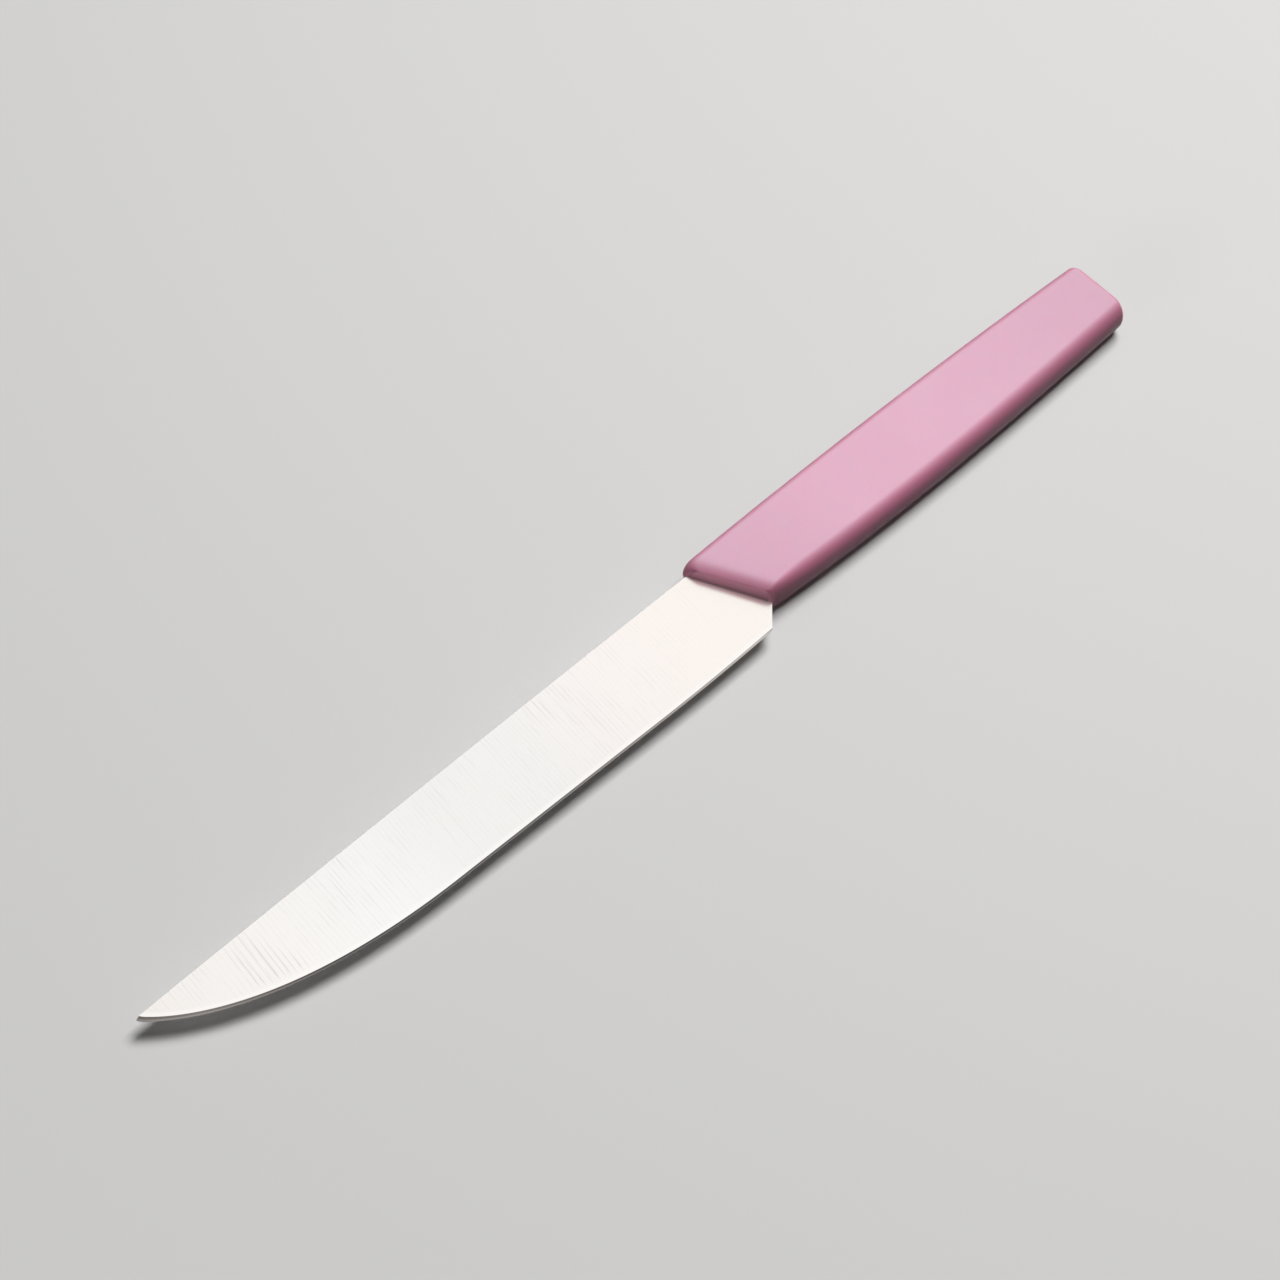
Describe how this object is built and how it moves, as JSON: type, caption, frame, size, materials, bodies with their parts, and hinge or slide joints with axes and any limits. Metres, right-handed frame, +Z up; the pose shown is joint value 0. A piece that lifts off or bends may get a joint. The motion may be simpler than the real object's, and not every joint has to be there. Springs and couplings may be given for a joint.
{
  "type": "steak knife",
  "caption": "Steak knife with a plain-edged, belly-curved steel blade in a flat, softly rounded pink plastic handle with a slanted front face.",
  "frame": {"origin": "middle of the base of the knife's box, in the plane that the handle's underside rests on", "axes": "+X along the knife from the tip of the blade to the butt of the handle, +Y from the cutting edge to the spine, +Z up, out of the upper flat of the handle"},
  "size_m": [0.24, 0.0216, 0.01],
  "materials": {
    "ground_steel": "ground, with fine transverse grind lines and a polished edge bevel",
    "core_plastic": "satin",
    "skin_plastic": "soft touch, satin"
  },
  "bodies": {
    "root": {"blade": "ground_steel", "handle_core": "core_plastic", "handle_skin": "skin_plastic"}
  },
  "joints": []
}
